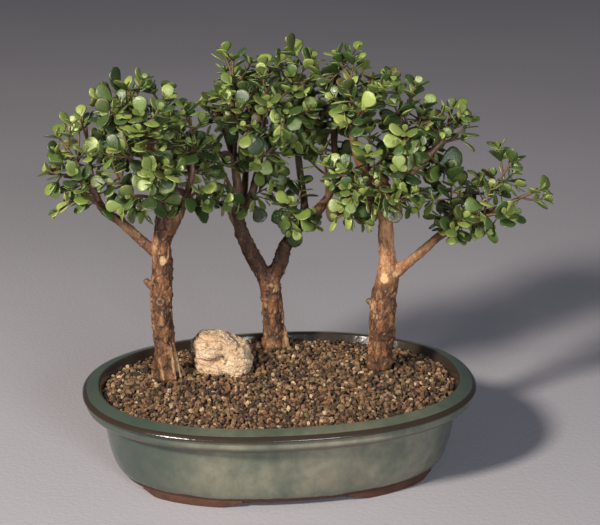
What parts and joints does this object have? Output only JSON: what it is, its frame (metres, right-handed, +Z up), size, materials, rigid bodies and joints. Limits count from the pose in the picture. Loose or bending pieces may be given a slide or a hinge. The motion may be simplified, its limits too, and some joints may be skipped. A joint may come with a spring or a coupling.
{
  "type": "dwarf jade bonsai",
  "caption": "Dwarf jade trees with thick bare trunks and small fleshy leaves, grown as a grove in a shallow oval glazed pot with a gravel top and a pale rock.",
  "frame": {"origin": "middle of the bounding box at the underside of the pot's feet", "axes": "+X along the pot's long side and to the right seen from the front, +Y to the back, where the middle tree stands, +Z up"},
  "size_m": [0.3238, 0.2102, 0.271],
  "materials": {
    "glaze": "gloss",
    "mesh": "matte",
    "soil": "matte",
    "gravel": "matte",
    "rock": "matte",
    "bark": "matte",
    "leaf": "satin"
  },
  "bodies": {
    "root": {"pot": "glaze", "drain_mesh": "mesh", "soil": "soil", "gravel": "gravel", "rock": "rock", "tree_left": "bark", "tree_centre": "bark", "tree_right": "bark", "spray_left_01": "leaf", "spray_left_02": "leaf", "spray_left_03": "leaf", "spray_left_04": "leaf", "spray_left_05": "leaf", "spray_left_06": "leaf", "spray_left_07": "leaf", "spray_left_08": "leaf", "spray_left_09": "leaf", "spray_left_10": "leaf", "spray_left_11": "leaf", "spray_left_12": "leaf", "spray_left_13": "leaf", "spray_left_14": "leaf", "spray_left_15": "leaf", "spray_left_16": "leaf", "spray_left_17": "leaf", "spray_centre_01": "leaf", "spray_centre_02": "leaf", "spray_centre_03": "leaf", "spray_centre_04": "leaf", "spray_centre_05": "leaf", "spray_centre_06": "leaf", "spray_centre_07": "leaf", "spray_centre_08": "leaf", "spray_centre_09": "leaf", "spray_centre_10": "leaf", "spray_centre_11": "leaf", "spray_centre_12": "leaf", "spray_centre_13": "leaf", "spray_centre_14": "leaf", "spray_centre_15": "leaf", "spray_centre_16": "leaf", "spray_right_01": "leaf", "spray_right_02": "leaf", "spray_right_03": "leaf", "spray_right_04": "leaf", "spray_right_05": "leaf", "spray_right_06": "leaf", "spray_right_07": "leaf", "spray_right_08": "leaf", "spray_right_09": "leaf", "spray_right_10": "leaf", "spray_right_11": "leaf", "spray_right_12": "leaf", "spray_right_13": "leaf", "spray_right_14": "leaf", "spray_right_15": "leaf", "spray_right_16": "leaf", "spray_right_17": "leaf", "spray_right_18": "leaf", "spray_right_19": "leaf"}
  },
  "joints": []
}
